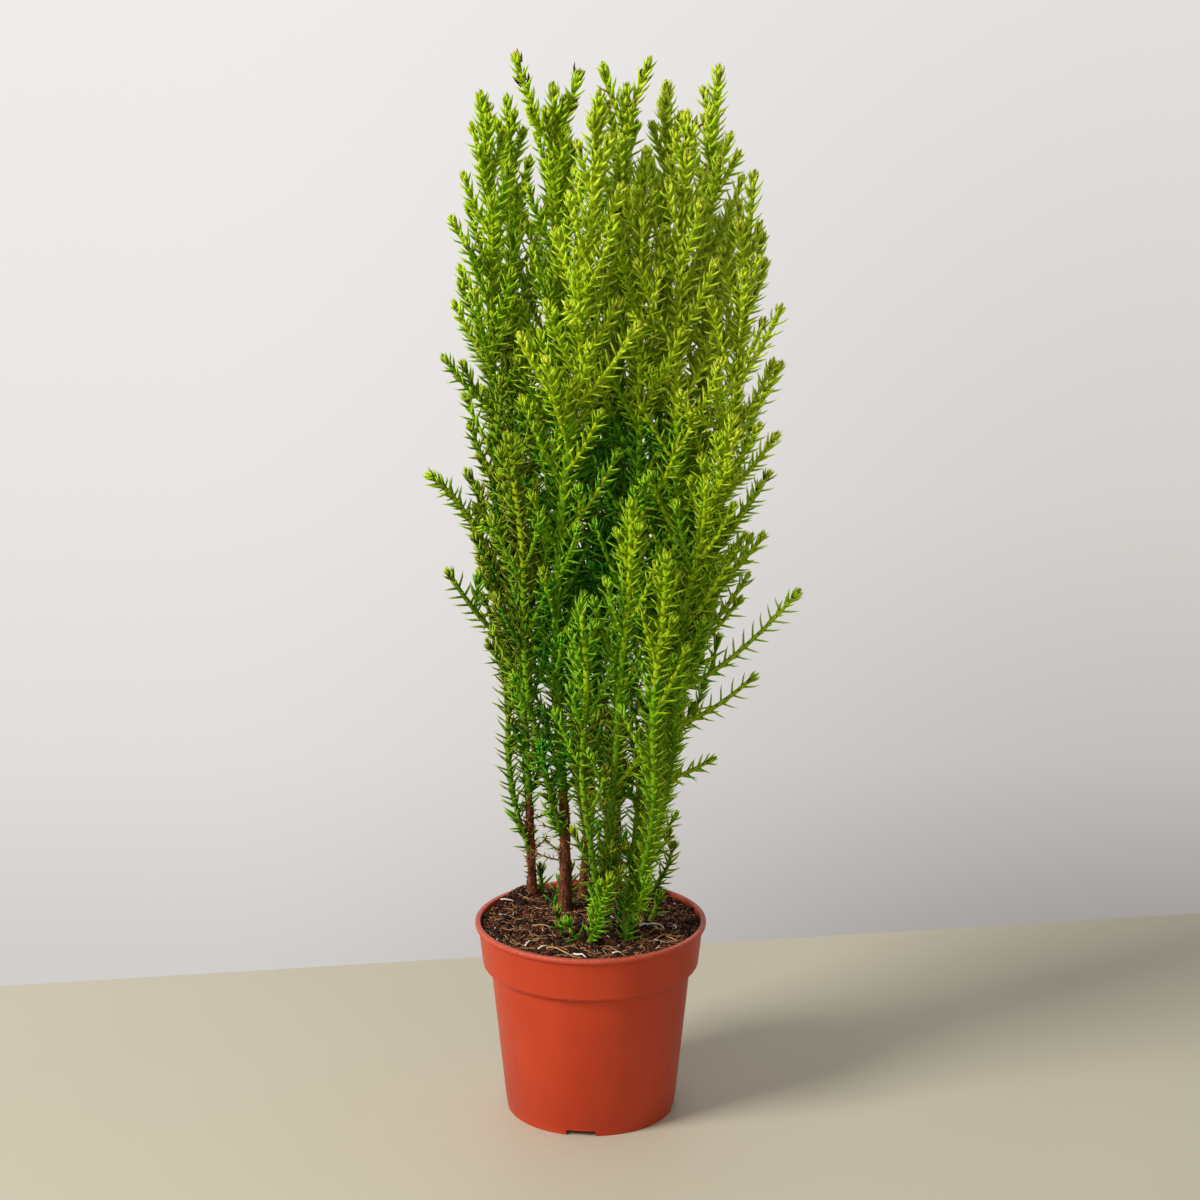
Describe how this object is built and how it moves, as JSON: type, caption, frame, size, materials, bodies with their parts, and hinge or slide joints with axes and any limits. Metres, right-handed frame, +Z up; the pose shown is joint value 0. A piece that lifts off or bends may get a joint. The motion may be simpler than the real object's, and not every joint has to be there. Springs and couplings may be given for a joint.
{
  "type": "potted lemon cypress",
  "caption": "Young upright conifer with slim leafy leaders and short side twigs, standing in a round tapered nursery pot with a deep rim band.",
  "frame": {"origin": "The middle of the boss in the pot's flat underside, at the level of the table it stands on.", "axes": "+Z is up, +X is to the right in the picture and +Y points away from its camera."},
  "size_m": [0.1708, 0.1329, 0.492],
  "materials": {
    "terracotta_plastic": "satin",
    "peat": "rough",
    "bark": "rough",
    "needles": "satin"
  },
  "bodies": {
    "root": {"bough_back_left": "bark", "bough_back_low": "bark", "bough_centre_right": "bark", "bough_crown_left": "bark", "bough_far_left": "bark", "bough_far_low": "bark", "bough_front_left": "bark", "bough_front_low": "bark", "bough_front_mid": "bark", "bough_left_back": "bark", "bough_left_low": "bark", "bough_right_back": "bark", "bough_right_front": "bark", "bough_right_tall": "bark", "foliage_back": "needles", "foliage_back_centre": "needles", "foliage_back_left": "needles", "foliage_back_low": "needles", "foliage_back_right": "needles", "foliage_centre": "needles", "foliage_centre_right": "needles", "foliage_crown_left": "needles", "foliage_far_left": "needles", "foliage_far_low": "needles", "foliage_front": "needles", "foliage_front_left": "needles", "foliage_front_low": "needles", "foliage_front_mid": "needles", "foliage_front_right": "needles", "foliage_front_sprig": "needles", "foliage_left": "needles", "foliage_left_back": "needles", "foliage_left_low": "needles", "foliage_right": "needles", "foliage_right_back": "needles", "foliage_right_front": "needles", "foliage_right_sprig": "needles", "foliage_right_tall": "needles", "pot": "terracotta_plastic", "soil": "peat", "stem_back": "bark", "stem_back_centre": "bark", "stem_back_right": "bark", "stem_centre": "bark", "stem_front": "bark", "stem_front_right": "bark", "stem_front_sprig": "bark", "stem_left": "bark", "stem_right": "bark", "stem_right_sprig": "bark"}
  },
  "joints": []
}
